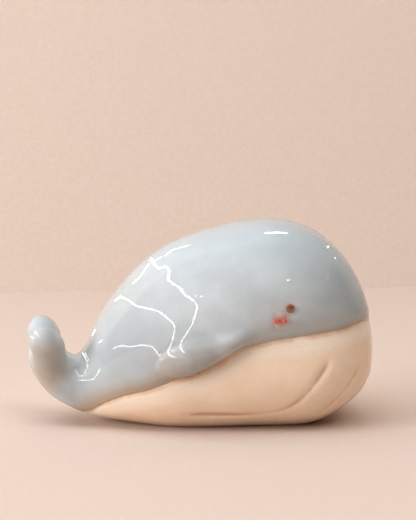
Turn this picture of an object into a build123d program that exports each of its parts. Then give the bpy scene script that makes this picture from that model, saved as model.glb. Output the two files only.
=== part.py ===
from build123d import *
import math
import os

# A glazed ceramic whale figurine, put together the way a potter does it: a hollow back casting
# under thick blue glaze, a hollow cream belly casting with throat grooves and a wiped flat foot,
# a solid curled tail on a tenon, two flukes, two flippers, and small eye and cheek beads.
# All lengths are in millimetres. +X is the snout, +Z is up, and Z = 0 is the flat foot.

# Overall sizes
whale_length = 100.0
whale_height = 58.3
whale_width = 53.0

# Clay walls, and how far the glazed back stands proud of the belly
clay_wall = 3.6
glaze_step = 0.5
cut_overrun = 5.0

# Locating lip of the belly casting, inside the seam
lip_height = 1.6
lip_wall = 1.6
slip_gap = 0.1

# Tail tenon and its seat
tenon_radius = 3.0
tenon_length = 4.5

# Vent hole that lets the air out in the kiln
vent_radius = 1.75

# Flukes: long drops that lean outwards and back along the sides of the tail. The tail is curled
# by hand, a little askew, so that the left one stands further back by this much each way.
fluke_length = 26.0
fluke_width = 10.6
fluke_lean = 26.0
fluke_tilt = 12.0
fluke_skew = 0.6
fluke_foot_radius = 1.6
fluke_foot_length = 6.0

# Flippers: drops of clay pressed on the flanks, just above the seam
flipper_height = 9.0
flipper_thickness = 8.6
flipper_end_depth = 0.8
flipper_foot_radius = 1.2
flipper_foot_height = 2.0
flipper_foot_length = 1.8

# Eye beads, pressed into the clay
eye_radius = 1.15
eye_depth = 1.5
eye_proud = 0.6

# Cheek patches of pink enamel, with red enamel beads on them
patch_radius = 2.75
patch_depth = 0.4
patch_proud = 0.35
patch_round = 0.2
bead_radius = 0.72
bead_depth = 0.2
bead_proud = 0.45
bead_spacing = 0.55
bead_gap = 0.35

# Throat grooves
groove_radius = 1.3
groove_depth = 0.5

# Shares of whale_length, whale_height and half of whale_width. Each row is one cross-section:
# the X and Z of its top, the X and Z of its bottom, and its half width. Snout to tail.
cap_shares = (
    (0.491, 0.590, 0.491, 0.504, 0.250),
    (0.478, 0.643, 0.478, 0.439, 0.450),
    (0.452, 0.740, 0.452, 0.380, 0.660),
    (0.400, 0.868, 0.400, 0.345, 0.845),
    (0.320, 0.963, 0.320, 0.322, 0.965),
    (0.220, 1.000, 0.220, 0.294, 1.003),
    (0.110, 0.982, 0.110, 0.234, 0.993),
    (0.000, 0.936, 0.000, 0.138, 0.950),
    (-0.100, 0.868, -0.100, 0.076, 0.882),
    (-0.180, 0.765, -0.178, 0.036, 0.777),
    (-0.248, 0.634, -0.242, 0.017, 0.650),
    (-0.298, 0.503, -0.292, 0.022, 0.528),
    (-0.334, 0.363, -0.354, 0.060, 0.430),
    (-0.360, 0.326, -0.404, 0.106, 0.425),
    (-0.385, 0.343, -0.467, 0.210, 0.446),
    (-0.405, 0.380, -0.492, 0.310, 0.446),
    (-0.421, 0.407, -0.490, 0.365, 0.372),
)
cap_snout_share = (0.4955, 0.550)
cap_tail_share = (-0.462, 0.424)
joint_row = 13

belly_shares = (
    (0.500, 0.440, 0.500, 0.288, 0.200),
    (0.495, 0.515, 0.495, 0.230, 0.385),
    (0.482, 0.578, 0.482, 0.170, 0.568),
    (0.458, 0.638, 0.458, 0.114, 0.735),
    (0.405, 0.686, 0.405, 0.043, 0.895),
    (0.320, 0.726, 0.320, -0.028, 0.985),
    (0.220, 0.737, 0.220, -0.042, 0.992),
    (0.110, 0.707, 0.110, -0.042, 0.962),
    (0.000, 0.626, 0.000, -0.043, 0.888),
    (-0.100, 0.540, -0.100, -0.033, 0.812),
    (-0.180, 0.474, -0.180, -0.014, 0.711),
    (-0.248, 0.418, -0.248, 0.004, 0.598),
    (-0.300, 0.360, -0.300, 0.021, 0.474),
    (-0.350, 0.284, -0.350, 0.056, 0.316),
)
belly_snout_share = (0.5055, 0.358)
belly_tail_share = (-0.388, 0.165)

# The shape that the hollow follows, one clay wall inside it, in the same kind of rows
hollow_shares = (
    (0.432, 0.662, 0.432, 0.198, 0.496),
    (0.395, 0.825, 0.395, 0.075, 0.715),
    (0.310, 0.960, 0.310, 0.008, 0.873),
    (0.200, 0.982, 0.200, 0.002, 0.905),
    (0.080, 0.955, 0.080, 0.002, 0.892),
    (-0.040, 0.893, -0.040, 0.004, 0.838),
    (-0.140, 0.792, -0.140, 0.015, 0.722),
    (-0.210, 0.652, -0.210, 0.045, 0.562),
    (-0.250, 0.515, -0.250, 0.110, 0.400),
)
hollow_snout_share = (0.480, 0.430)
hollow_tail_share = (-0.305, 0.310)

# The seam between the castings, from snout to tail: shares of whale_length and whale_height
seam_shares = (
    (0.492, 0.512),
    (0.445, 0.530),
    (0.400, 0.511),
    (0.345, 0.487),
    (0.257, 0.462),
    (0.184, 0.450),
    (0.130, 0.434),
    (0.077, 0.400),
    (0.027, 0.336),
    (-0.030, 0.287),
    (-0.090, 0.257),
    (-0.156, 0.213),
    (-0.210, 0.189),
    (-0.262, 0.152),
    (-0.298, 0.115),
    (-0.350, 0.035),
)

# The widest line of a section lies at this share of its height, and these set how full it is
waist_share = 0.42
section_points = 12
top_fullness = 2.25
bottom_fullness = 2.1

# Places on the flank: shares of whale_length and whale_height
eye_share = (0.226, 0.615)
patch_share = (0.200, 0.557)
flipper_tip_share = (-0.140, 0.322)
flipper_root_share = (0.150, 0.515)
fluke_centre_share = (-0.434, 0.303)
fluke_out_share = 0.257
fluke_widest_share = 0.68
fluke_seat_share = 0.74
vent_share = 0.09

# Sections of a flipper: how far along it they lie, and their share of its height and thickness
flipper_shares = ((0.05, 0.58), (0.15, 0.91), (0.30, 1.00), (0.50, 0.86), (0.70, 0.60), (0.88, 0.30))
flipper_foot_share = 0.30

# Throat grooves on each side: shares of whale_length and whale_height
outer_groove_shares = (
    (0.357, 0.412),
    (0.332, 0.340),
    (0.281, 0.212),
    (0.225, 0.125),
    (0.110, 0.088),
    (-0.090, 0.086),
)
inner_groove_shares = (
    (0.452, 0.405),
    (0.430, 0.315),
    (0.395, 0.215),
    (0.345, 0.118),
    (0.312, 0.045),
)
# The groove down the middle of the chin, seen from a point inside the head
chin_centre_share = (0.25, 0.45)
chin_first_turn = -20.0
chin_last_turn = -66.0
chin_points = 4

half_width = whale_width / 2
sides = {1: "left", -1: "right"}


def at_share(share, y=0.0):
    """The point of the side view that lies at these shares of the length and the height."""
    return Vector(share[0] * whale_length, y, share[1] * whale_height)


def section(row):
    """The plane of one cross-section, its half width, and its heights above and below the waist."""
    top, bottom = at_share(row[0:2]), at_share(row[2:4])
    rise = top - bottom
    waist = bottom + rise * waist_share
    plane = Plane(origin=waist, x_dir=(0, 1, 0), z_dir=Vector(0, 1, 0).cross(rise))
    return plane, row[4] * half_width, rise.length * (1 - waist_share), rise.length * waist_share


def ring(half, above, below):
    """Points of a closed outline that is full at the flanks and round at the top and bottom."""
    points = []
    for n in range(section_points):
        angle = math.tau * n / section_points
        across, up = math.sin(angle), math.cos(angle)
        fullness, height = (top_fullness, above) if up > 0 else (bottom_fullness, below)
        u = math.copysign(abs(across) ** (2 / fullness), across) * half
        v = math.copysign(abs(up) ** (2 / fullness), up) * height
        points.append((u, v))
    return points


def skin(rows, snout_share, tail_share, inset=0.0):
    """A closed solid through the sections, drawn in by inset all round."""
    inward = Vector(inset, 0, 0)
    snout, tail = at_share(snout_share) - inward, at_share(tail_share) + inward
    outlines = []
    for row in rows:
        plane, half, above, below = section(row)
        with BuildSketch(plane) as outline:
            with BuildLine():
                Spline(*ring(half - inset, above - inset, below - inset), periodic=True)
            make_face()
        outlines.append(outline.sketch.faces()[0])
    with BuildPart() as whole:
        loft(sections=[Vertex(*snout), *outlines, Vertex(*tail)])
    return whole.part


def cap(inset=0.0):
    return skin(cap_shares, cap_snout_share, cap_tail_share, inset)


def hollow(inset):
    return skin(hollow_shares, hollow_snout_share, hollow_tail_share, inset)


def on_skin(shape, share, side):
    """The point and outward normal of the skin where a line across the body leaves it."""
    line = Axis(at_share(share), (0, side, 0))
    hits = [hit for face in shape.faces() for hit in face.find_intersection_points(line)]
    point, normal = max(hits, key=lambda hit: hit[0].Y * side)
    return point, normal if normal.Y * side > 0 else -normal


def face_plane(point, normal):
    """A plane that lies on the skin, with its X axis level and its Z axis outwards."""
    return Plane(origin=point, x_dir=Vector(0, 0, 1).cross(normal), z_dir=normal)


def bead(plane, radius, depth, proud):
    """A bead of clay: a shank that is sunk by depth, and a rounded top that stands proud."""
    cap_radius = (radius**2 + proud**2) / (2 * proud)
    with BuildPart() as shape:
        with BuildSketch(Plane(origin=plane.origin, x_dir=plane.z_dir, z_dir=plane.y_dir)):
            with BuildLine():
                Polyline((0, radius), (-depth, radius), (-depth, 0), (proud, 0))
                half_angle = math.degrees(math.asin(radius / cap_radius))
                CenterArc((proud - cap_radius, 0), cap_radius, start_angle=0, arc_size=half_angle)
            make_face()
        revolve(axis=Axis(plane.origin, plane.z_dir))
    return shape


# Skins of the two castings, and the cuts that they share
cap_skin = cap()
belly_skin = skin(belly_shares, belly_snout_share, belly_tail_share, glaze_step)

with BuildPart() as above_seam:
    with BuildSketch(Plane.XZ):
        with BuildLine():
            seam = Spline(*[tuple(at_share(share))[0::2] for share in seam_shares])
            ahead = seam @ 0 + Vector(whale_length, 0)
            behind = seam @ 1 - Vector(whale_length, cut_overrun)
            high = whale_height + cut_overrun
            Polyline(seam @ 0, ahead, (ahead.X, high), (behind.X, high), behind, seam @ 1)
        make_face()
    extrude(amount=whale_width, both=True)

with BuildPart() as foot_cut:
    with BuildSketch():
        Rectangle(whale_length * 2, whale_width * 2)
    extrude(amount=-whale_height)

joint_plane = section(cap_shares[joint_row])[0]
with BuildPart() as behind_joint:
    with BuildSketch(joint_plane):
        Rectangle(whale_width, whale_width)
    extrude(amount=-whale_length)

# Tail: the curled end of the blue skin, solid clay, on a tenon
with BuildPart() as tenon:
    with BuildSketch(joint_plane):
        Circle(tenon_radius)
    extrude(amount=tenon_length)

with BuildPart() as tail:
    add(cap_skin)
    add(behind_joint.part, mode=Mode.INTERSECT)
    add(tenon.part)

# Flukes: long drops along the sides of the tail, each with a foot in it
flukes, fluke_feet = {}, {}
for side, word in sides.items():
    centre = at_share(fluke_centre_share, side * fluke_out_share * half_width)
    centre -= Vector(side * fluke_skew, 0, 0)
    lean = Vector(0, 0, 1).rotate(Axis.X, -side * fluke_lean).rotate(Axis.Y, -fluke_tilt)
    start = centre - lean * (fluke_length / 2)
    with BuildPart() as fluke:
        with BuildSketch(Plane(origin=start, x_dir=lean, z_dir=lean.cross(Vector(0, 1, 0)))):
            with BuildLine():
                widest = fluke_length * fluke_widest_share
                EllipticalCenterArc((widest, 0), widest, fluke_width / 2, start_angle=90, arc_size=90)
                tip = fluke_length - widest
                EllipticalCenterArc((widest, 0), tip, fluke_width / 2, start_angle=0, arc_size=90)
                Line((0, 0), (fluke_length, 0))
            make_face()
        revolve(axis=Axis(start, lean))
        add(tail.part, mode=Mode.SUBTRACT)
    with BuildPart() as foot:
        with BuildSketch(Plane(origin=start + lean * fluke_length * fluke_seat_share, z_dir=-lean)):
            Circle(fluke_foot_radius)
        extrude(amount=fluke_foot_length)
    with BuildPart() as with_foot:
        add(max(fluke.part.solids(), key=lambda piece: piece.volume))
        add(foot.part)
    with_foot.part.label = f"{word}_fluke"
    flukes[side], fluke_feet[side] = with_foot, foot

# Flippers: drops along the flank, seated on the glazed skin, each with a luting foot
flippers, flipper_feet = {}, {}
for side, word in sides.items():
    root, tip = at_share(flipper_root_share), at_share(flipper_tip_share)
    outlines = []
    for along, size in flipper_shares:
        place = tip + (root - tip) * along
        point, normal = on_skin(cap_skin, (place.X / whale_length, place.Z / whale_height), side)
        with BuildSketch(Plane(origin=point, x_dir=(0, side, 0), z_dir=root - tip)) as outline:
            Ellipse(size * flipper_thickness / 2, size * flipper_height / 2)
        outlines.append(outline.sketch.faces()[0])
        if along == flipper_foot_share:
            foot_plane = Plane(origin=point, z_dir=-normal)
    ends = []
    for share in (flipper_tip_share, flipper_root_share):
        point, normal = on_skin(cap_skin, share, side)
        ends.append(point - normal * flipper_end_depth)
    with BuildPart() as flipper:
        loft(sections=[Vertex(*ends[0]), *outlines, Vertex(*ends[1])])
        add([cap_skin, belly_skin], mode=Mode.SUBTRACT)
    with BuildPart() as foot:
        with BuildSketch(foot_plane.offset(-flipper_foot_height)):
            Circle(flipper_foot_radius)
        extrude(amount=flipper_foot_height + flipper_foot_length)
    with BuildPart() as with_foot:
        add(max(flipper.part.solids(), key=lambda piece: piece.volume))
        add(foot.part)
    with_foot.part.label = f"{word}_flipper"
    flippers[side], flipper_feet[side] = with_foot, foot

# Eyes: beads with a shank, pressed into the flanks
eyes = {}
for side, word in sides.items():
    eyes[side] = bead(face_plane(*on_skin(cap_skin, eye_share, side)), eye_radius, eye_depth, eye_proud)
    eyes[side].part.label = f"{word}_eye"

# Cheek patches: round discs of enamel let into the glaze, with three red beads on each,
# two that run together and one on its own
patches, beads = {}, {}
for side, word in sides.items():
    seat = face_plane(*on_skin(cap_skin, patch_share, side))
    top = seat.offset(patch_proud)
    single = bead_radius * 2 + bead_gap
    with BuildPart() as row:
        for along in (-bead_spacing - single / 2, -single / 2, single / 2):
            place = Plane(origin=top.origin - top.x_dir * along * side, x_dir=top.x_dir, z_dir=top.z_dir)
            add(bead(place, bead_radius, bead_depth, bead_proud).part)
    row.part.label = f"{word}_cheek_beads"
    beads[side] = row

    with BuildPart() as patch:
        with BuildSketch(top):
            Circle(patch_radius)
        extrude(amount=-patch_proud - patch_depth)
        fillet(patch.edges().sort_by(Axis(seat.origin, seat.z_dir))[-1], patch_round)
        add(row.part, mode=Mode.SUBTRACT)
    patch.part.label = f"{word}_cheek_patch"
    patches[side] = patch

# Back shell: the hollow blue casting, down to the seam
with BuildPart() as back_shell:
    add(cap_skin)
    add(above_seam.part, mode=Mode.INTERSECT)
    add([behind_joint.part, hollow(clay_wall), tenon.part], mode=Mode.SUBTRACT)
    sunk = [piece[side].part for piece in (flipper_feet, eyes, patches, beads) for side in sides]
    add(sunk, mode=Mode.SUBTRACT)
back_shell.part.label = "back_shell"

# Tail: its seats for the flukes
with BuildPart() as tail_cut:
    add(tail.part)
    add([fluke_feet[side].part for side in sides], mode=Mode.SUBTRACT)
with BuildPart() as tail_with_seats:
    add(max(tail_cut.part.solids(), key=lambda piece: piece.volume))
tail_with_seats.part.label = "tail"

# Throat grooves: round cuts that follow the belly skin and run out at both ends
groove_paths = []
for side in sides:
    for shares in (outer_groove_shares, inner_groove_shares):
        groove_paths.append([on_skin(belly_skin, share, side) for share in shares])
chin_path = []
for n in range(chin_points):
    turn = math.radians(chin_first_turn + (chin_last_turn - chin_first_turn) * n / (chin_points - 1))
    ray = Axis(at_share(chin_centre_share), (math.cos(turn), 0, math.sin(turn)))
    hits = [hit for face in belly_skin.faces() for hit in face.find_intersection_points(ray)]
    point, normal = max(hits, key=lambda hit: hit[0].X)
    chin_path.append((point, normal if normal.X > 0 else -normal))
groove_paths.append(chin_path)

grooves = []
for path in groove_paths:
    last = len(path) - 1
    points = []
    for n, (point, normal) in enumerate(path):
        lift = groove_radius + groove_depth if n in (0, last) else groove_radius - groove_depth
        points.append(point + normal * lift)
    with BuildPart() as groove:
        with BuildLine() as line:
            Spline(*points)
        with BuildSketch(Plane(origin=line.line @ 0, z_dir=line.line % 0)):
            Circle(groove_radius)
        sweep()
    grooves.append(groove)

# Belly shell: the hollow cream casting, with the locating lip and the flat foot
with BuildPart() as lip:
    add(hollow(clay_wall + slip_gap))
    with BuildSketch(Plane.XZ):
        with BuildLine():
            raised = [tuple(at_share(share) + Vector(0, 0, lip_height))[0::2] for share in seam_shares]
            upper = Spline(*raised)
            Polyline(
                upper @ 0,
                upper @ 0 + Vector(whale_length, 0),
                ((upper @ 0).X + whale_length, -cut_overrun),
                ((upper @ 1).X - whale_length, -cut_overrun),
                (upper @ 1) - Vector(whale_length, 0),
                upper @ 1,
            )
        make_face()
    extrude(amount=whale_width, both=True, mode=Mode.INTERSECT)

with BuildPart() as belly_shell:
    add(belly_skin)
    add(above_seam.part, mode=Mode.SUBTRACT)
    add(lip.part)
    add([hollow(clay_wall + lip_wall), foot_cut.part], mode=Mode.SUBTRACT)
    with BuildSketch():
        with Locations((vent_share * whale_length, 0)):
            Circle(vent_radius)
    extrude(amount=(clay_wall + lip_wall) * 2, mode=Mode.SUBTRACT)
    add([groove.part for groove in grooves], mode=Mode.SUBTRACT)
belly_shell.part.label = "belly_shell"

os.makedirs("parts", exist_ok=True)
export_step(back_shell.part, "parts/back_shell.step")
export_step(belly_shell.part, "parts/belly_shell.step")
export_step(tail_with_seats.part, "parts/tail.step")
for side, word in sides.items():
    export_step(flukes[side].part, f"parts/{word}_fluke.step")
    export_step(flippers[side].part, f"parts/{word}_flipper.step")
    export_step(eyes[side].part, f"parts/{word}_eye.step")
    export_step(patches[side].part, f"parts/{word}_cheek_patch.step")
    export_step(beads[side].part, f"parts/{word}_cheek_beads.step")
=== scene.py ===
"""Looks for the glazed ceramic whale: glaze, enamel touches, table and soft light round the CAD part."""

import math

import bmesh
import bpy
import numpy as np
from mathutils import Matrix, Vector
from mathutils.bvhtree import BVHTree
from mathutils import noise


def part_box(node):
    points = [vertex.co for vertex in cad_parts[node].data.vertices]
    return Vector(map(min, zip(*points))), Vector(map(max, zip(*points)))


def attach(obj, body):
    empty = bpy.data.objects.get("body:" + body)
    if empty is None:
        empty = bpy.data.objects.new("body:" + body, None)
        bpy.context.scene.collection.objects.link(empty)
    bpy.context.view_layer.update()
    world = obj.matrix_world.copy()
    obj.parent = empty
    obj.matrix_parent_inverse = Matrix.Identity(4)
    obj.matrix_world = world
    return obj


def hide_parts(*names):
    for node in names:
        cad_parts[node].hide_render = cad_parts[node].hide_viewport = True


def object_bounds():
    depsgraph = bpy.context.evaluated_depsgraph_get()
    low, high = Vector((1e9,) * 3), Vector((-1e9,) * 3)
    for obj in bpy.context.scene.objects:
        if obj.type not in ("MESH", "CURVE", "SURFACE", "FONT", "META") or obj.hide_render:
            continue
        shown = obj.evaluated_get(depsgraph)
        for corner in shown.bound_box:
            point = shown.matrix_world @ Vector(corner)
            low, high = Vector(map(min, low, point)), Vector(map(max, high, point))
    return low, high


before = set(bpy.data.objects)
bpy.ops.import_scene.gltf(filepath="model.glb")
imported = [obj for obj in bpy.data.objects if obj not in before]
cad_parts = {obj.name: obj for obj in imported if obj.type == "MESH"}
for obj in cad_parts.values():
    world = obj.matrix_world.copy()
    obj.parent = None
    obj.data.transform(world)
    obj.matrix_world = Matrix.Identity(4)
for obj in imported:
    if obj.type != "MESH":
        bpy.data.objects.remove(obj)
cad_low, cad_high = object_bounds()

mm = 0.001  # Blender works in metres
SIDES = ("right", "left")

# ---- the photograph's camera ----
PHOTO_WIDTH, PHOTO_HEIGHT = 416, 520
SENSOR = 36.0              # height of the film in millimetres, as Blender takes it
LENS = 94.5
CAMERA_PLACE = (-38.6 * mm, -392.0 * mm, 91.5 * mm)
CAMERA_AIM = (2.7 * mm, 0.0, 46.6 * mm)

# ---- the table, the wall behind it and the light of the room ----
WALL = 276.0 * mm          # the wall's distance behind the whale
STAGE_REACH = 1.6          # how far the table goes and how high the wall is, in metres
AIR_COLOUR, AIR_STRENGTH = "#f2f4f6", 0.05
LAMP_AIM = (0, 0, 30.0 * mm)
LAMPS = (
    # name, place and width in metres, watts, colour
    ("skylight", (-0.5, 0.0, 1.6), 1.8, 22.5, "#f8fcff"),
    ("low_window", (-1.4, -0.5, 0.45), 0.9, 19.0, "#fafcff"),
    ("room_fill", (0.5, -0.7, 1.4), 1.0, 8.0, "#fffaf6"),
)

# ---- reflections: ragged slits of light, by the pixels of the photograph where they show ----
SLIT_STEP = 1.2            # pixels between the points of a slit
SLIT_TAPER, SLIT_TIP = 3.0, 0.8  # steps over which a slit narrows, and steps left at its tip
SLIT_ROUGH, SLIT_SEED = 0.55, 3.7  # how quickly a ragged edge changes, per pixel, and its seed
CORNER_SHARE = 0.02 * mm   # keeps a mesh corner's weight finite where a ray hits it
WALL_GAP = 10.0 * mm       # slits stay this far in front of the wall
TABLE_GAP = 2.0 * mm       # and this far above the table
SLITS = (
    # brightness, distance from the glaze in mm, width in pixels, raggedness, line in pixels:
    # down the flank, from the crest to the flipper
    (14, 3, 2.4, 0.9, ((150.5, 257.5), (153, 263), (158, 268), (166, 267), (169, 270), (169, 275),
                       (168, 280), (172, 283), (180, 288), (184, 294), (190, 298), (195, 302))),
    (14, 0.8, 1.6, 0.5, ((195, 302), (197, 306), (197, 309), (195, 316), (191.5, 326))),
    (12, 0.5, 1.4, 0.4, ((191.5, 326), (183, 339), (180.5, 344), (180.5, 348.5), (184.5, 353))),
    # across the flank and down to the flipper
    (14, 2, 1.5, 0.6, ((114.5, 301), (121, 296.5), (130, 301), (136, 306), (150, 309), (160, 312),
                       (167, 318), (173, 323), (175, 329))),
    (12, 0.5, 1.3, 0.4, ((175, 329), (172, 342), (168, 351), (169, 355), (175.5, 357.5))),
    (14, 2, 1.2, 0.5, ((113, 349.5), (115, 347.5), (122, 345.5), (130, 347), (141, 345), (151.5, 346),
                       (156.5, 351.5), (159.5, 356.5))),
    # along the crest
    (12, 3, 0.8, 0.5, ((132, 284), (140, 277), (149.5, 263))),
    (12, 3, 0.8, 0.5, ((154, 262), (162, 256))),
    (12, 3, 0.9, 0.5, ((165, 256), (172, 250), (190, 245))),
    (14, 4, 1.4, 0.3, ((264, 233), (277, 232.5), (288, 233))),
    # dots
    (14, 2, 3.2, 0.4, ((200.8, 296.5), (202.8, 296.5))),
    (14, 2, 2.0, 0.4, ((194.5, 296), (196.5, 296))),
    (14, 2, 2.0, 0.4, ((195.5, 291), (196.5, 292))),
    (14, 3, 2.4, 0.4, ((287.0, 280.3), (290.5, 279.7))),
    (14, 3, 3.0, 0.4, ((327.4, 246), (328.6, 248))),
    (14, 3, 2.6, 0.4, ((334.5, 257.5), (335.5, 258.5))),
    (14, 3, 4.0, 0.4, ((327.5, 277.5), (328.5, 278.5))),
    # in the hollow between the back and the tail
    (10, 0.4, 0.9, 0.3, ((82.5, 352.5), (87, 361), (87.5, 367.5), (84, 375), (78, 377))),
    (8, 0.4, 0.7, 0.3, ((85, 352.5), (89, 361))),
    (8, 0.4, 0.7, 0.3, ((75, 369), (77.5, 374.5), (83, 377), (88, 374.5), (90, 370))),
    (12, 0.4, 0.9, 0.3, ((78, 380), (86, 380.5), (93, 379), (98, 374), (100, 367.5))),
    (14, 1, 0.8, 0.3, ((92, 336), (95, 329.5))),
    (14, 1, 1.2, 0.3, ((98, 343), (103, 339.5))),
    # on the near lobe of the tail
    (8, 0.4, 0.9, 0.3, ((34, 330.5), (40.5, 338))),
    (8, 0.4, 0.7, 0.3, ((30, 336), (35.5, 339.5))),
)

# ---- the clay and its glaze ----
GLAZED = ("back_shell", "tail", "left_fluke", "right_fluke", "left_flipper", "right_flipper")
SMALL_PARTS = GLAZED[1:]
VOXEL = 0.42 * mm          # finer than the glaze's own rolled edge
STEP = 0.5                 # how far one smoothing step takes a point towards its neighbours
GLAZE_ROLL = (0.55, -0.50)  # in and out again, so that edges round and nothing shrinks
GLAZE_ROLL_STEPS = 16      # how far the glaze rounds every clay edge
JOIN_REACH = 2.2 * mm      # width of the glaze fillet where two clay pieces meet
JOIN_STEPS = 22
ROOT_REACH = 3.4 * mm      # the flipper's root is smoothed further, ahead of this place
ROOT_START = -9.0 * mm
ROOT_STEPS = 120
TAIL_REACH = 5.0 * mm      # the flukes are thumbed into the tail, so that they flow into it
TAIL_STEPS = 260
TAIL_THUMB_TOP = 0.46 * (cad_high[2] - cad_low[2])
SMOOTH_REACH = 5.0 * mm    # the broad back is levelled this far away from edges and small parts
SMOOTH_STEPS = 130
GROOVE_STEPS = 14          # the glaze softens the throat grooves
CHIN_START = 22.0 * mm     # the crease on the middle line under the chin is filled, ahead of this place
CHIN_REACH = 5.0 * mm
CHIN_STEPS = 90
HAND_WAVE = 0.10 * mm      # unevenness of a hand-finished casting
HAND_WAVE_LENGTH = 24.0 * mm
SEAM_FADE = 7.0 * mm       # the glaze thins, and painted shade deepens, over this distance from the seam
RIM_SWELL = 0.12 * mm      # the blue glaze gathers in a faint roll just above the seam
RIM_HEIGHT = 2.5 * mm
TUCK_RISE = 1.3 * mm       # the cream glaze runs up under the roll
TUCK_REACH = 1.2 * mm
RELAX_STEPS = 60           # steps that tell hollows from crests, about 2 mm wide
SHADE_PLACES = (           # painted shade and warm bounce, in soft spots on both sides
    # place and reach in mm, strength, tone
    (-45.5, 12.0, 18.0, 11.0, 0.60, "#a08b75"),  # painted warm shade on the curled tail
    (-46.0, 9.0, 13.0, 8.0, 0.45, "#b09072"),    # painted shade and warm bounce on its underside
    (-10.5, 26.0, 19.5, 8.5, 0.60, "#998b7d"),   # painted shade under the flipper's rounded end
    (-2.0, 28.0, 24.0, 7.5, 0.60, "#94918c"),    # painted shade along the flipper's underside
    (7.0, 26.5, 28.0, 8.0, 0.15, "#949799"),     # painted shade at its root
    (-22.0, 18.0, 28.0, 15.0, 0.35, "#a0a8ad"),  # painted shade on the rear flank above the tail
)

# ---- what the glazes share ----
FULL_SHARE = 0.35          # a soft spot has its full strength over this share of its reach
PEEL_SIZE_MM, PEEL_DETAIL = 2.6, 1.5
PEEL_DEPTH = 0.12 * mm

# ---- the cheeks' pools of enamel, thin drops that sink into the glaze ----
POOL_RADIUS = 2.7 * mm
POOL_PROUD = 0.15 * mm     # how far the middle stands out
POOL_SINK = 0.12 * mm      # how far the border lies under the glaze
POOL_DEPTH = 0.5 * mm      # how deep its underside lies
POOL_PROBE = 3.0 * mm      # rays to the glaze start this far out
POOL_WIDE, POOL_TALL = 0.85, 1.12  # shares of the radius, across and up
POOL_RINGS, POOL_SPOKES = 10, 64
POOL_WANDER, POOL_LOBES = 0.28, 1.3  # how uneven the outline is, and how many lobes it has
POOL_SEEDS = {"right": 3.0, "left": 8.0}
BLUSHES = ((3.6, 0.6, "#c9978b"), (2.2, 0.55, "#df8f7d"))  # reach in mm, strength and pink of each cloud


def paint(hex_colour):
    """An sRGB hex colour as the linear one that Blender's sockets take."""
    parts = [int(hex_colour[i:i + 2], 16) / 255 for i in (1, 3, 5)]
    return [p / 12.92 if p <= 0.04045 else ((p + 0.055) / 1.055) ** 2.4 for p in parts] + [1.0]


def per_mm(size_mm):
    """The noise scale whose features are about this many millimetres wide."""
    return 1.0 / (size_mm * mm)


# ---------------------------------------------------------------- mesh helpers
def new_object(name, mesh):
    piece = bpy.data.objects.new(name, mesh)
    bpy.context.scene.collection.objects.link(piece)
    return piece


def points_of(mesh):
    """The mesh's vertices, one row each."""
    flat = np.empty(len(mesh.vertices) * 3)
    mesh.vertices.foreach_get("co", flat)
    return flat.reshape(-1, 3)


def normals_of(mesh):
    flat = np.empty(len(mesh.vertices) * 3)
    mesh.vertex_normals.foreach_get("vector", flat)
    return flat.reshape(-1, 3)


def set_points(mesh, points):
    mesh.vertices.foreach_set("co", points.ravel())
    mesh.update()


def edges_of(mesh):
    flat = np.empty(len(mesh.edges) * 2, dtype=np.int64)
    mesh.edges.foreach_get("vertices", flat)
    return flat.reshape(-1, 2)


def relaxed(points, edges, steps, strength):
    """The points after each has moved towards the mean of its neighbours, steps times."""
    count = len(points)
    ends = np.concatenate([edges[:, 0], edges[:, 1]])
    others = np.concatenate([edges[:, 1], edges[:, 0]])
    degree = np.maximum(np.bincount(ends, minlength=count), 1)[:, None]
    moved = points.copy()
    for step in range(steps):
        mean = np.stack(
            [np.bincount(ends, moved[others, axis], count) for axis in range(3)], axis=1) / degree
        factor = strength[step % len(strength)]
        moved = moved + factor * (mean - moved)
    return moved


def levelled(points, edges, steps, share):
    """The points, smoothed where share is 1 and held where it is 0."""
    return relaxed(points, edges, steps, (STEP * share[:, None],))


def joined_clay(name, nodes):
    """One mesh with copies of these CAD nodes, fused by a voxel remesh."""
    together = bmesh.new()
    for node_name in nodes:
        together.from_mesh(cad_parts[node_name].data)
    mesh = bpy.data.meshes.new(name)
    together.to_mesh(mesh)
    together.free()
    piece = new_object(name, mesh)
    remesh = piece.modifiers.new("fuse", "REMESH")
    remesh.mode = "VOXEL"
    remesh.voxel_size = VOXEL
    remesh.adaptivity = 0.0
    evaluated = piece.evaluated_get(bpy.context.evaluated_depsgraph_get())
    fused = bpy.data.meshes.new_from_object(evaluated)
    piece.modifiers.clear()
    piece.data = fused
    bpy.data.meshes.remove(mesh)
    return piece


def tree_of(node_name):
    """A search tree of a CAD node's surface."""
    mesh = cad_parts[node_name].data
    return BVHTree.FromPolygons([v.co for v in mesh.vertices], [p.vertices for p in mesh.polygons])


def distances(points, tree, reach):
    """How far each point is from the surface, or reach if it is further."""
    found = np.full(len(points), reach)
    for i, point in enumerate(points):
        hit = tree.find_nearest(Vector(point), reach)
        if hit[0] is not None:
            found[i] = hit[3]
    return found


def store(mesh, name, values):
    """Keeps one number per vertex, for the materials to read."""
    attribute = mesh.attributes.new(name, "FLOAT", "POINT")
    attribute.data.foreach_set("value", np.asarray(values, dtype=np.float32))


def wave(points, size, seed):
    """Soft hand-made unevenness, from -1 to 1, at each point."""
    offset = Vector((seed * 17.3, seed * 5.1, seed * 9.7))
    return np.array([noise.noise(Vector(p) / size + offset) for p in points])


def soft_step(values):
    """0 to 1, levelling out at both ends."""
    held = np.clip(values, 0.0, 1.0)
    return held * held * (3.0 - 2.0 * held)


def tuck_under(piece, partner):
    """Runs the belly's top edge up behind the rolled rim of the back, so that no gap shows."""
    points = points_of(piece.data)
    gap = distances(points, tree_of(partner), TUCK_REACH)
    points[:, 2] += TUCK_RISE * soft_step(1.0 - gap / TUCK_REACH)
    set_points(piece.data, points)


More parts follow.
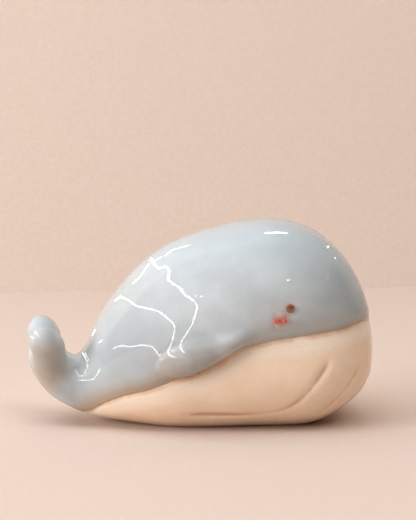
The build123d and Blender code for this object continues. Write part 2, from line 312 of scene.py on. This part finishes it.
def joined_up(points, edges, joins, broad):
    """Fills the corners where clay meets clay, thumbs the flukes in and levels the broad back."""
    gaps = {name: distances(points, tree_of(name), SMOOTH_REACH) for name in joins}
    nearness = np.sort(np.stack([1.0 - gap / JOIN_REACH for gap in gaps.values()]), axis=0)
    points = levelled(points, edges, JOIN_STEPS, np.clip(2.0 * nearness[-2], 0.0, 1.0))
    flank = soft_step(1.0 - gaps["back_shell"] / ROOT_REACH)
    fins = soft_step(1.0 - np.minimum(gaps["left_flipper"], gaps["right_flipper"]) / ROOT_REACH)
    ahead = soft_step((points[:, 0] - ROOT_START) / SMOOTH_REACH)
    points = levelled(points, edges, ROOT_STEPS, flank * fins * ahead)
    tail, left, right = (soft_step(1.0 - gaps[name] / TAIL_REACH)
                         for name in ("tail", "left_fluke", "right_fluke"))
    below = soft_step((TAIL_THUMB_TOP - points[:, 2]) / TAIL_REACH)
    points = levelled(points, edges, TAIL_STEPS, tail * np.maximum(left, right) * below)
    for name in SMALL_PARTS:
        broad = np.minimum(broad, gaps[name] / SMOOTH_REACH)
    return levelled(points, edges, SMOOTH_STEPS, soft_step(broad))


def softened(points, edges, broad):
    """Softens the throat grooves and fills the crease under the chin."""
    away = soft_step(broad)
    points = levelled(points, edges, GROOVE_STEPS, away)
    ahead = soft_step((points[:, 0] - CHIN_START) / CHIN_REACH)
    middle = soft_step(1.0 - abs(points[:, 1]) / CHIN_REACH)
    return levelled(points, edges, CHIN_STEPS, ahead * middle * away)


def glaze_over(piece, partner, joins, swell=0.0):
    """Rolls the edges, fills the corners between clay pieces and stores how hollow each point is and how
    near the seam, for the glaze's tones and painted shade.
    """
    mesh = piece.data
    edges = edges_of(mesh)
    points = relaxed(points_of(mesh), edges, GLAZE_ROLL_STEPS, GLAZE_ROLL)
    broad = distances(points, tree_of(partner), SMOOTH_REACH) / SMOOTH_REACH
    points = joined_up(points, edges, joins, broad) if joins else softened(points, edges, broad)
    set_points(mesh, points)
    normals = normals_of(mesh)
    gap = distances(points, tree_of(partner), SEAM_FADE)
    roll = soft_step(1.0 - abs(gap - RIM_HEIGHT) / RIM_HEIGHT)
    lift = HAND_WAVE * wave(points, HAND_WAVE_LENGTH, 1) + swell * roll
    points = points + normals * lift[:, None]
    set_points(mesh, points)
    calm = relaxed(points, edges, RELAX_STEPS, (STEP,))
    hollow = ((calm - points) * normals_of(mesh)).sum(axis=1) / mm
    store(mesh, "hollow", hollow)
    store(mesh, "seam", 1.0 - gap / SEAM_FADE)
    mesh.shade_smooth()


# ---------------------------------------------------------------- material helpers
def add(tree, kind, links=None, **settings):
    """Adds a node, sets its properties, then sets its inputs or links them to sockets."""
    new = tree.nodes.new(kind)
    for key, value in settings.items():
        setattr(new, key, value)
    for key, value in (links or {}).items():
        if isinstance(value, bpy.types.NodeSocket):
            tree.links.new(value, new.inputs[key])
        else:
            new.inputs[key].default_value = value
    return new


def new_material(name):
    """A material with a Principled shader, and its tree and shader."""
    material = bpy.data.materials.new(name)
    material.use_nodes = True
    tree = material.node_tree
    shader = tree.nodes["Principled BSDF"]
    return material, tree, shader


def mixed(tree, factor, first, second):
    """The socket of a colour that goes from first to second with factor."""
    return add(tree, "ShaderNodeMix", {0: factor, 6: first, 7: second},
               data_type="RGBA").outputs[2]


def ranged(tree, value, low, high, start=0.0, end=1.0):
    """The socket of value, taken from low..high to start..end, clamped."""
    return add(tree, "ShaderNodeMapRange", {0: value, 1: low, 2: high, 3: start, 4: end}).outputs[0]


def tinted(tree, colour, value, low, high, strength, tone):
    """The colour, taken towards tone by up to strength as value goes from low to high."""
    return mixed(tree, ranged(tree, value, low, high, 0.0, strength), colour, tone)


def shifted(tree, value, other, kind="ADD"):
    """The socket of value plus, or with SUBTRACT minus, the other one."""
    return add(tree, "ShaderNodeMath", {0: value, 1: other}, operation=kind).outputs[0]


def glassy(shader, roughness, coat, coat_roughness, under=0.0):
    """The body's roughness and the glass over it; under is the shine left to the body itself."""
    shader.inputs["Roughness"].default_value = roughness
    shader.inputs["Specular IOR Level"].default_value = under
    shader.inputs["Coat Weight"].default_value = coat
    shader.inputs["Coat Roughness"].default_value = coat_roughness
    shader.inputs["Coat IOR"].default_value = 1.5


def patches(tree, place, size_mm, detail=2.0, low=0.35, high=0.65):
    """The socket of a soft noise with features of this size, spread from 0 to 1."""
    grain = add(tree, "ShaderNodeTexNoise",
                {"Vector": place, "Scale": per_mm(size_mm), "Detail": detail})
    return ranged(tree, grain.outputs["Fac"], low, high)


def orange_peel(tree, shader, place, strength):
    """The faint ripple of a fired glaze, in the clear coat and under it."""
    ripple = add(tree, "ShaderNodeTexNoise",
                 {"Vector": place, "Scale": per_mm(PEEL_SIZE_MM), "Detail": PEEL_DETAIL})
    bump = add(tree, "ShaderNodeBump",
               {"Height": ripple.outputs["Fac"], "Strength": strength, "Distance": PEEL_DEPTH})
    tree.links.new(bump.outputs[0], shader.inputs["Normal"])
    tree.links.new(bump.outputs[0], shader.inputs["Coat Normal"])


def near(tree, place, centre, reach, ragged, size_mm):
    """A socket that is 1 at centre and fades to 0 at about reach, with a ragged border."""
    gap = add(tree, "ShaderNodeVectorMath", {0: place, 1: centre}, operation="DISTANCE").outputs["Value"]
    grain = add(tree, "ShaderNodeTexNoise",
                {"Vector": place, "Scale": per_mm(size_mm), "Detail": 2.0}).outputs["Fac"]
    shift = ranged(tree, grain, 0.3, 0.7, -ragged, ragged)
    return ranged(tree, shifted(tree, gap, shift), reach, FULL_SHARE * reach)


def centre_of(node_name):
    low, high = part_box(node_name)
    return [(a + b) / 2 for a, b in zip(low, high)]


def blushed(tree, place, side, colour):
    """The colour with the cheek's soft pink cloud over it, on the glaze and on the enamel alike."""
    for reach, strength, pink in BLUSHES:
        cloud = near(tree, place, centre_of(side + "_cheek_patch"), reach * mm, 0.7 * mm, 1.9)
        colour = tinted(tree, colour, cloud, 0.0, 1.0, strength, paint(pink))
    return colour


def cloudy_blue(tree, place):
    """The milky clouds that the blue glaze and the enamel in it share."""
    return mixed(tree, patches(tree, place, 9.0, 3.0), paint("#c1c8cb"), paint("#ced4d7"))


def blue_glaze():
    """Grey-blue tin glaze, dipped and fired: milky, cloudy and thin at its edges, with painted shade, warm
    bounce, light and a cool sky reflection in its colour.
    """
    material, tree, shader = new_material("grey_blue_glaze")
    place = add(tree, "ShaderNodeTexCoord").outputs["Object"]
    seam = add(tree, "ShaderNodeAttribute", attribute_name="seam").outputs["Fac"]
    hollow = add(tree, "ShaderNodeAttribute", attribute_name="hollow").outputs["Fac"]
    along = add(tree, "ShaderNodeSeparateXYZ", {0: place}).outputs["X"]
    up = add(tree, "ShaderNodeSeparateXYZ",
             {0: add(tree, "ShaderNodeNewGeometry").outputs["Normal"]}).outputs["Z"]
    colour = cloudy_blue(tree, place)
    # darker over the head, as painted shade where it turns from the light; greyer towards the tail, as
    # painted shade; lighter on its flukes, as painted light; bluer on top, as a painted reflection of a
    # cool sky
    colour = tinted(tree, colour, along, 8.0 * mm, 50.0 * mm, 0.55, paint("#96a2a5"))
    # painted shade over the rear of the back
    rear = ranged(tree, along, -6.0 * mm, -26.0 * mm)
    colour = tinted(tree, colour, rear, 0.0, 1.0, 0.45, paint("#abb0b0"))
    # painted light on the flukes, lifting them out of the rear's painted shade
    colour = tinted(tree, colour, along, -37.0 * mm, -46.0 * mm, 0.8, paint("#c8d5dc"))
    # painted reflection of a cool sky, on glaze that faces up
    colour = tinted(tree, colour, up, 0.6, 1.0, 0.7, paint("#b0c1cb"))
    # specks, then hollows, darker where the glaze pools and as painted shade, and crests where it is thin
    specks = patches(tree, place, 0.9, 1.0, 0.60, 0.76)
    colour = tinted(tree, colour, specks, 0.0, 1.0, 0.18, paint("#d5dadb"))
    colour = tinted(tree, colour, hollow, 0.0, 0.35, 0.55, paint("#a3a49f"))
    colour = tinted(tree, colour, hollow, -0.12, -0.5, 0.35, paint("#b9a596"))
    # three tones towards the seam, each closer to it and browner: the glaze thinning at its edge, with
    # painted shade and warm bounce from the table where the back turns under
    drift = shifted(tree, seam, ranged(tree, patches(tree, place, 5.0), 0.0, 1.0, -0.04, 0.04))
    warm = shifted(tree, drift, ranged(tree, along, -2.0 * mm, 9.0 * mm, 0.0, 0.34), "SUBTRACT")
    for value, low, high, strength, front, back in (
            (drift, 0.05, 0.45, 0.5, "#a9aaa6", "#b8b3ac"),
            (warm, 0.28, 0.74, 0.85, "#ab9783", "#b5a08b"),
            (drift, 0.90, 1.0, 0.7, "#b49677", "#c6ac92")):
        tone = mixed(tree, rear, paint(front), paint(back))
        colour = tinted(tree, colour, value, low, high, strength, tone)
    # painted shade in soft spots, on both sides
    for x, y, z, reach, strength, tone in SHADE_PLACES:
        for across in (-y, y):
            shade_spot = near(tree, place, (x * mm, across * mm, z * mm), reach * mm, 1.5 * mm, 6.0)
            colour = tinted(tree, colour, shade_spot, 0.0, 1.0, strength, paint(tone))
    for side in SIDES:
        halo = near(tree, place, centre_of(side + "_eye"), 2.0 * mm, 0.2 * mm, 1.2)
        colour = tinted(tree, colour, halo, 0.0, 1.0, 0.6, paint("#d9b79c"))
        colour = blushed(tree, place, side, colour)
    tree.links.new(colour, shader.inputs["Base Color"])
    glassy(shader, 0.38, 1.0, 0.06)
    orange_peel(tree, shader, place, 0.08)
    return material


def cream_glaze():
    """Cream glaze over buff clay: glossy and pale; orange-tan towards the foot as painted warm bounce, at
    the seam as painted shade, and in the grooves where it pools and as painted shade; a pale band below
    the seam is painted light.
    """
    material, tree, shader = new_material("cream_glaze")
    place = add(tree, "ShaderNodeTexCoord").outputs["Object"]
    seam = add(tree, "ShaderNodeAttribute", attribute_name="seam").outputs["Fac"]
    hollow = add(tree, "ShaderNodeAttribute", attribute_name="hollow").outputs["Fac"]
    height = add(tree, "ShaderNodeSeparateXYZ", {0: place}).outputs["Z"]
    colour = mixed(tree, patches(tree, place, 7.0, 3.0), paint("#f7dabd"), paint("#fbe1c9"))
    # warmer towards the foot, as painted warm bounce light from the table
    low = shifted(tree, height, ranged(tree, patches(tree, place, 4.0), 0.0, 1.0, -1.5 * mm, 1.5 * mm))
    colour = tinted(tree, colour, low, 12.0 * mm, 1.0 * mm, 0.22, paint("#d9a470"))
    # a pale band below the seam, as painted light against the rim's shadow; tan at the seam itself, as
    # painted shade under the rim; and tan in the grooves, where the glaze pools and as painted shade
    drift = shifted(tree, seam, ranged(tree, patches(tree, place, 5.0), 0.0, 1.0, -0.05, 0.05))
    colour = tinted(tree, colour, drift, 0.15, 0.55, 0.6, paint("#ffeedb"))
    # painted shade under the rim, at the seam
    colour = tinted(tree, colour, drift, 0.84, 1.0, 0.6, paint("#d39c6c"))
    # glaze pooling in the grooves, with painted shade there
    colour = tinted(tree, colour, hollow, 0.01, 0.11, 0.55, paint("#c0824c"))
    specks = patches(tree, place, 0.8, 1.0, 0.64, 0.78)
    colour = tinted(tree, colour, specks, 0.0, 1.0, 0.15, paint("#c9a284"))
    tree.links.new(colour, shader.inputs["Base Color"])
    glassy(shader, 0.36, 0.9, 0.09)
    orange_peel(tree, shader, place, 0.3)
    return material


def cheek_enamel(side):
    """Thin pink enamel that sank into the blue glaze: its border can't be told from it."""
    material, tree, shader = new_material(f"{side}_cheek_enamel")
    place = add(tree, "ShaderNodeTexCoord").outputs["Object"]
    colour = blushed(tree, place, side, cloudy_blue(tree, place))
    tree.links.new(colour, shader.inputs["Base Color"])
    glassy(shader, 0.38, 1.0, 0.06)
    orange_peel(tree, shader, place, 0.08)
    return material


def enamel(name, body, pool, size_mm):
    """Overglaze enamel laid on in a drop: glassy, with its colour gathered unevenly."""
    material, tree, shader = new_material(name)
    place = add(tree, "ShaderNodeTexCoord").outputs["Object"]
    gathered = patches(tree, place, size_mm, 3.0, 0.4, 0.62)
    tree.links.new(mixed(tree, gathered, paint(body), paint(pool)), shader.inputs["Base Color"])
    glassy(shader, 0.3, 1.0, 0.08, under=0.5)
    orange_peel(tree, shader, place, 0.2)
    return material


def show_front_only(tree, surface):
    """Shows this shader on a sheet's front, and nothing on its back."""
    behind = add(tree, "ShaderNodeNewGeometry").outputs["Backfacing"]
    clear = add(tree, "ShaderNodeBsdfTransparent").outputs[0]
    one_sided = add(tree, "ShaderNodeMixShader", {0: behind, 1: surface, 2: clear})
    tree.links.new(one_sided.outputs[0], tree.nodes["Material Output"].inputs["Surface"])


def glowing(name, colour, strength):
    """The even glow of a bright slit of window, on the side that faces the glaze."""
    material = bpy.data.materials.new(name)
    material.use_nodes = True
    tree = material.node_tree
    tree.nodes.remove(tree.nodes["Principled BSDF"])
    glow = add(tree, "ShaderNodeEmission", {"Color": paint(colour), "Strength": strength})
    show_front_only(tree, glow.outputs[0])
    return material


def plain_stage(name, colour, fleck):
    """Matt painted board or limewash: even, with a faint grain, clear from behind."""
    material, tree, shader = new_material(name)
    place = add(tree, "ShaderNodeTexCoord").outputs["Object"]
    grain = patches(tree, place, 1.6, 4.0, 0.3, 0.7)
    tree.links.new(mixed(tree, grain, paint(colour), paint(fleck)), shader.inputs["Base Color"])
    shader.inputs["Roughness"].default_value = 0.8
    show_front_only(tree, shader.outputs[0])
    return material


def enamel_pool(name, tree, centre, seed):
    """A thin pool of enamel with an uneven outline, laid on the glaze and sunk at its border."""
    place, normal, _, _ = tree.find_nearest(Vector(centre))
    across = Vector((0, 0, 1)).cross(normal).normalized()
    up = normal.cross(across)
    mesh = bmesh.new()
    tops, bottoms = [], []
    for ring in range(1, POOL_RINGS + 1):
        share = ring / POOL_RINGS
        height = POOL_PROUD * (1 - share ** 3) - POOL_SINK * share ** 3
        top_row, bottom_row = [], []
        for spoke in range(POOL_SPOKES):
            turn = math.tau * spoke / POOL_SPOKES
            out = Vector((math.cos(turn), math.sin(turn), 0))
            uneven = 1 + POOL_WANDER * noise.noise(out * POOL_LOBES + Vector((seed, 0, 0)))
            reach = POOL_RADIUS * share * uneven
            shift = across * out.x * reach * POOL_WIDE + up * out.y * reach * POOL_TALL
            hit, face_normal, _, _ = tree.ray_cast(place + shift + normal * POOL_PROBE, -normal)
            top_row.append(mesh.verts.new(hit + face_normal * height))
            bottom_row.append(mesh.verts.new(hit - face_normal * POOL_DEPTH))
        tops.append(top_row)
        bottoms.append(bottom_row)
    for rows, flip in ((tops, False), (bottoms, True)):
        middle = mesh.verts.new(place + normal * (-POOL_DEPTH if flip else POOL_PROUD))
        for spoke in range(POOL_SPOKES):
            after = (spoke + 1) % POOL_SPOKES
            fan = (middle, rows[0][spoke], rows[0][after])
            mesh.faces.new(fan[::-1] if flip else fan)
            for inner, outer in zip(rows, rows[1:]):
                quad = (inner[spoke], outer[spoke], outer[after], inner[after])
                mesh.faces.new(quad[::-1] if flip else quad)
    for spoke in range(POOL_SPOKES):
        after = (spoke + 1) % POOL_SPOKES
        mesh.faces.new((tops[-1][spoke], bottoms[-1][spoke], bottoms[-1][after], tops[-1][after]))
    bmesh.ops.recalc_face_normals(mesh, faces=mesh.faces)
    data = bpy.data.meshes.new(name)
    mesh.to_mesh(data)
    mesh.free()
    data.shade_smooth()
    return new_object(name, data)


def wear(piece, material):
    piece.data.materials.clear()
    piece.data.materials.append(material)


# ---------------------------------------------------------------- camera, table and light
def set_camera():
    data = bpy.data.cameras.new("photo_camera")
    data.sensor_fit = "VERTICAL"
    data.sensor_height = SENSOR
    data.lens = LENS
    data.clip_start = 0.01
    camera = bpy.data.objects.new("photo_camera", data)
    bpy.context.scene.collection.objects.link(camera)
    camera.location = CAMERA_PLACE
    look = Vector(CAMERA_AIM) - Vector(CAMERA_PLACE)
    camera.rotation_euler = look.to_track_quat("-Z", "Y").to_euler()
    bpy.context.scene.camera = camera
    bpy.context.view_layer.update()
    return camera


def flat_sheet(name, corners, material):
    mesh = bpy.data.meshes.new(name)
    mesh.from_pydata(corners, [], [tuple(range(len(corners)))])
    mesh.materials.append(material)
    sheet = new_object(name, mesh)
    return sheet


def set_stage():
    """A pale table top and the wall behind it."""
    far = STAGE_REACH
    flat_sheet("table", [(-far, -far, 0), (far, -far, 0), (far, WALL, 0), (-far, WALL, 0)],
               plain_stage("pale_table", "#dac8bb", "#deccc0"))
    flat_sheet("wall", [(-far, WALL, 0), (far, WALL, 0), (far, WALL, far), (-far, WALL, far)],
               plain_stage("pale_wall", "#e9d6c8", "#eddccf"))


class Mirror:
    """Where a ray from the camera through a pixel goes after the glaze has reflected it."""

    def __init__(self, camera, pieces):
        self.eye = camera.matrix_world.translation
        turn = camera.matrix_world.to_3x3()
        self.right, self.up, self.ahead = (turn @ Vector(v) for v in ((1, 0, 0), (0, 1, 0), (0, 0, -1)))
        self.pixels = LENS / SENSOR * PHOTO_HEIGHT
        self.surfaces = []
        for piece in pieces:
            mesh = piece.data
            tree = BVHTree.FromPolygons([v.co for v in mesh.vertices], [p.vertices for p in mesh.polygons])
            self.surfaces.append((tree, mesh, normals_of(mesh)))

    def ray(self, x, y):
        across, down = x - PHOTO_WIDTH / 2, y - PHOTO_HEIGHT / 2
        return (self.ahead * self.pixels + self.right * across - self.up * down).normalized()

    def hit(self, x, y):
        """The nearest surface point behind a pixel, and its smooth normal."""
        ray, best = self.ray(x, y), None
        for tree, mesh, normals in self.surfaces:
            place, _, face, far = tree.ray_cast(self.eye, ray)
            if place is not None and (best is None or far < best[0]):
                best = (far, place, face, mesh, normals)
        if best is None:
            return None
        _, place, face, mesh, normals = best
        corners = mesh.polygons[face].vertices
        weights = [1.0 / ((mesh.vertices[c].co - place).length + CORNER_SHARE) for c in corners]
        normal = sum((Vector(normals[c]) * w for c, w in zip(corners, weights)), Vector())
        return place, normal.normalized()

    def bounce(self, x, y, reach):
        """The place that shows in the glaze at a pixel, this far from it."""
        found = self.hit(x, y)
        if found is None:
            return None
        place, normal = found
        ray = self.ray(x, y)
        away = ray - 2 * ray.dot(normal) * normal
        if away.y > 0:
            reach = min(reach, (WALL - WALL_GAP - place.y) / away.y)
        target = place + away * reach
        return target if target.z > TABLE_GAP else None


def light_slit(name, mirror, line, reach, width, raggedness, material):
    """A ragged bright slit that shows in the glaze along this line of the photograph."""
    steps = []
    for (x0, y0), (x1, y1) in zip(line, line[1:]):
        count = max(1, round(math.hypot(x1 - x0, y1 - y0) / SLIT_STEP))
        steps += [(x0 + (x1 - x0) * n / count, y0 + (y1 - y0) * n / count) for n in range(count)]
    steps.append(line[-1])
    mesh = bmesh.new()
    before = None
    for n, (x, y) in enumerate(steps):
        ahead, behind = steps[min(n + 1, len(steps) - 1)], steps[max(n - 1, 0)]
        run = Vector((ahead[0] - behind[0], ahead[1] - behind[1])).normalized()
        rough = 1.0 + raggedness * noise.noise(Vector((x, y, SLIT_SEED)) * SLIT_ROUGH)
        taper = min(1.0, (min(n, len(steps) - 1 - n) + SLIT_TIP) / SLIT_TAPER)
        half = width / 2 * rough * taper
        pair = [mirror.bounce(x - run.y * half * s, y + run.x * half * s, reach) for s in (-1, 1)]
        if None in pair:
            before = None
            continue
        pair = [mesh.verts.new(p) for p in pair]
        if before:
            face = mesh.faces.new((before[0], before[1], pair[1], pair[0]))
            face.normal_update()
            if face.normal.dot(mirror.hit(x, y)[0] - pair[0].co) < 0:
                face.normal_flip()
        before = pair
    data = bpy.data.meshes.new(name)
    mesh.to_mesh(data)
    mesh.free()
    data.materials.append(material)
    card = new_object(name, data)
    card.visible_camera = card.visible_diffuse = card.visible_shadow = False


def soft_lamp(name, place, size, watts, colour):
    data = bpy.data.lights.new(name, "AREA")
    data.shape = "DISK"
    data.size = size
    data.energy = watts
    data.color = paint(colour)[:3]
    lamp = bpy.data.objects.new(name, data)
    lamp.location = place
    lamp.visible_glossy = False
    lamp.rotation_euler = (Vector(LAMP_AIM) - Vector(place)).to_track_quat("-Z", "Y").to_euler()
    bpy.context.scene.collection.objects.link(lamp)


def set_light():
    """A dim room, a large skylight, a low window to the left and a weak fill from the front right."""
    world = bpy.data.worlds.new("dim_room")
    world.use_nodes = True
    bpy.context.scene.world = world
    air = world.node_tree.nodes["Background"]
    air.inputs["Color"].default_value = paint(AIR_COLOUR)
    air.inputs["Strength"].default_value = AIR_STRENGTH
    for lamp in LAMPS:
        soft_lamp(*lamp)
    bpy.context.scene.view_settings.view_transform = "Standard"


# ---------------------------------------------------------------- the whale
camera = set_camera()
set_stage()
set_light()

back = joined_clay("glazed_back", GLAZED)
glaze_over(back, "belly_shell", GLAZED, RIM_SWELL)
wear(back, blue_glaze())
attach(back, "root")
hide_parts(*GLAZED)

belly = joined_clay("cream_belly", ("belly_shell",))
tuck_under(belly, "back_shell")
glaze_over(belly, "back_shell", ())
wear(belly, cream_glaze())
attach(belly, "root")
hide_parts("belly_shell")

mirror = Mirror(camera, (back, belly))
glaze_tree = mirror.surfaces[0][0]
brown = enamel("brown_enamel", "#a4643f", "#6a3d28", 0.9)
red = enamel("red_enamel", "#dc7158", "#c95f48", 0.8)
for side in SIDES:
    patch = enamel_pool(f"{side}_blush", glaze_tree, centre_of(f"{side}_cheek_patch"), POOL_SEEDS[side])
    wear(patch, cheek_enamel(side))
    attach(patch, "root")
    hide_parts(f"{side}_cheek_patch")
    for part, finish in (("eye", brown), ("cheek_beads", red)):
        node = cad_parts[f"{side}_{part}"]
        for material_slot in node.material_slots:
            material_slot.material = finish
        for face in node.data.polygons:
            face.use_smooth = True

glows = {glow: glowing(f"window_glow_{glow}", "#ffffff", glow) for glow in sorted({s[0] for s in SLITS})}
for number, (glow, reach, width, raggedness, line) in enumerate(SLITS, start=1):
    light_slit(f"slit_{number}", mirror, line, reach * mm, width, raggedness, glows[glow])
